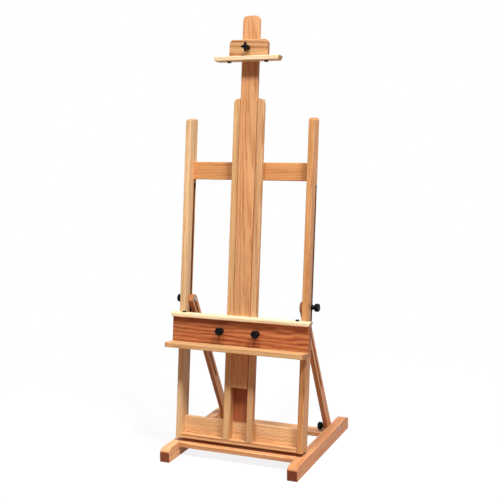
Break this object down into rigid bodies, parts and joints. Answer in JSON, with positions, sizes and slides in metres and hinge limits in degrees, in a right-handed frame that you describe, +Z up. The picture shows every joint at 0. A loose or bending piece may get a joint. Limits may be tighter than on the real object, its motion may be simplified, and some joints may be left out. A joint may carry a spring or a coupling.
{
  "type": "studio easel",
  "caption": "H-frame wooden studio easel with a sled base, sliding mast with a top clamp, a canvas tray clamped to the stiles, and slotted rear struts that set its tilt",
  "frame": {"origin": "on the floor, under the middle of the base", "axes": "+Z up, +Y from the canvas side to the back, +X to the right when facing the canvas side"},
  "size_m": [0.6404, 0.672, 1.8304],
  "materials": {
    "oak": "oiled oak, clear satin finish",
    "base_oak": "oiled oak, clear satin finish",
    "red_oak": "redder oak, clear satin finish",
    "pale_oak": "pale planed oak, clear satin finish",
    "panel": "dark red-brown stained board",
    "steel": "bright zinc-plated steel",
    "brass": "turned brass",
    "knob": "black moulded plastic",
    "rubber": "black rubber"
  },
  "bodies": {
    "base": {"left_runner": "base_oak", "right_runner": "base_oak", "front_rail": "base_oak", "rear_rail": "base_oak", "base_dowels": "base_oak", "pivot_bolts": "steel", "pivot_washers": "steel", "lower_hinge_leaves": "steel", "hinge_pins": "steel", "lower_hinge_screws": "steel"},
    "frame": {"left_upright": "oak", "right_upright": "oak", "bottom_rail": "oak", "lower_crossbar": "oak", "upper_crossbar": "oak", "left_stile": "oak", "right_stile": "oak", "back_panel": "panel", "upper_back_panel": "panel", "frame_dowels": "oak", "stile_screws": "steel", "panel_screws": "steel", "upper_hinge_leaves": "steel", "upper_hinge_screws": "steel", "strut_bolts": "steel", "strut_washers": "steel", "mast_lock_insert": "brass"},
    "left_strut": {"left_strut": "oak"},
    "right_strut": {"right_strut": "oak"},
    "mast": {"mast": "oak", "mast_tongue": "oak", "tongue_screws": "steel"},
    "top_clamp": {"clamp_block": "oak", "clamp_spacers": "oak", "clamp_back_plate": "oak", "grip_bar": "pale_oak", "bar_pads": "rubber", "clamp_insert": "brass", "clamp_screws": "steel", "bar_screws": "steel"},
    "tray": {"tray_ledge": "pale_oak", "tray_apron": "red_oak", "tray_shelf": "oak", "tray_dowels": "oak", "shelf_screws": "steel", "ledge_pads": "rubber", "tray_bolts": "steel", "left_tray_claw": "oak", "right_tray_claw": "oak"},
    "left_tray_knob": {"left_tray_knob": "knob"},
    "right_tray_knob": {"right_tray_knob": "knob"},
    "clamp_knob": {"clamp_knob": "knob", "clamp_stud": "steel"},
    "left_strut_knob": {"left_strut_knob": "knob"},
    "right_strut_knob": {"right_strut_knob": "knob"},
    "left_pivot_knob": {"left_pivot_knob": "knob"},
    "right_pivot_knob": {"right_pivot_knob": "knob"},
    "mast_lock_knob": {"mast_lock_knob": "knob", "mast_lock_stud": "steel"}
  },
  "joints": [
    {"name": "frame_tilt", "type": "hinge", "parent": "base", "child": "frame", "pos_m": [0, -0.15743, 0.0615], "axis": [-1, 0, 0], "range_deg": [0, 20]},
    {"name": "left_strut_swing", "type": "hinge", "parent": "base", "child": "left_strut", "pos_m": [-0.2515, 0.204, 0.0435], "axis": [-1, 0, 0], "range_deg": [0, 16]},
    {"name": "right_strut_swing", "type": "hinge", "parent": "base", "child": "right_strut", "pos_m": [0.2515, 0.204, 0.0435], "axis": [-1, 0, 0], "range_deg": [0, 16]},
    {"name": "mast_height", "type": "slide", "parent": "frame", "child": "mast", "axis": [0, 0.1305, 0.9914], "range_m": [-0.1, 0.48]},
    {"name": "clamp_height", "type": "slide", "parent": "mast", "child": "top_clamp", "axis": [0, 0.1305, 0.9914], "range_m": [-0.035, 0.08]},
    {"name": "tray_height", "type": "slide", "parent": "frame", "child": "tray", "axis": [0, 0.1305, 0.9914], "range_m": [-0.35, 0.56]},
    {"name": "left_tray_knob_turn", "type": "hinge", "parent": "tray", "child": "left_tray_knob", "pos_m": [-0.0805, -0.20285, 0.54698], "axis": [0, -0.9914, 0.1305], "continuous": true},
    {"name": "right_tray_knob_turn", "type": "hinge", "parent": "tray", "child": "right_tray_knob", "pos_m": [0.0805, -0.20285, 0.54698], "axis": [0, -0.9914, 0.1305], "continuous": true},
    {"name": "clamp_knob_turn", "type": "hinge", "parent": "top_clamp", "child": "clamp_knob", "pos_m": [0, -0.05481, 1.70209], "axis": [0, -0.9914, 0.1305], "continuous": true},
    {"name": "left_strut_knob_turn", "type": "hinge", "parent": "frame", "child": "left_strut_knob", "pos_m": [-0.3042, -0.10129, 0.65344], "axis": [-1, 0, 0], "continuous": true},
    {"name": "right_strut_knob_turn", "type": "hinge", "parent": "frame", "child": "right_strut_knob", "pos_m": [0.3042, -0.10129, 0.65344], "axis": [1, 0, 0], "continuous": true},
    {"name": "left_pivot_knob_turn", "type": "hinge", "parent": "base", "child": "left_pivot_knob", "pos_m": [-0.2245, 0.204, 0.0435], "axis": [1, 0, 0], "continuous": true},
    {"name": "right_pivot_knob_turn", "type": "hinge", "parent": "base", "child": "right_pivot_knob", "pos_m": [0.2245, 0.204, 0.0435], "axis": [-1, 0, 0], "continuous": true},
    {"name": "mast_lock_knob_turn", "type": "hinge", "parent": "frame", "child": "mast_lock_knob", "pos_m": [0, -0.00596, 1.19362], "axis": [0, 0.9914, -0.1305], "continuous": true}
  ],
  "couplings": [
    {"joint": "left_strut_swing", "follows": "frame_tilt", "ratio": 0.778},
    {"joint": "right_strut_swing", "follows": "frame_tilt", "ratio": 0.778}
  ]
}
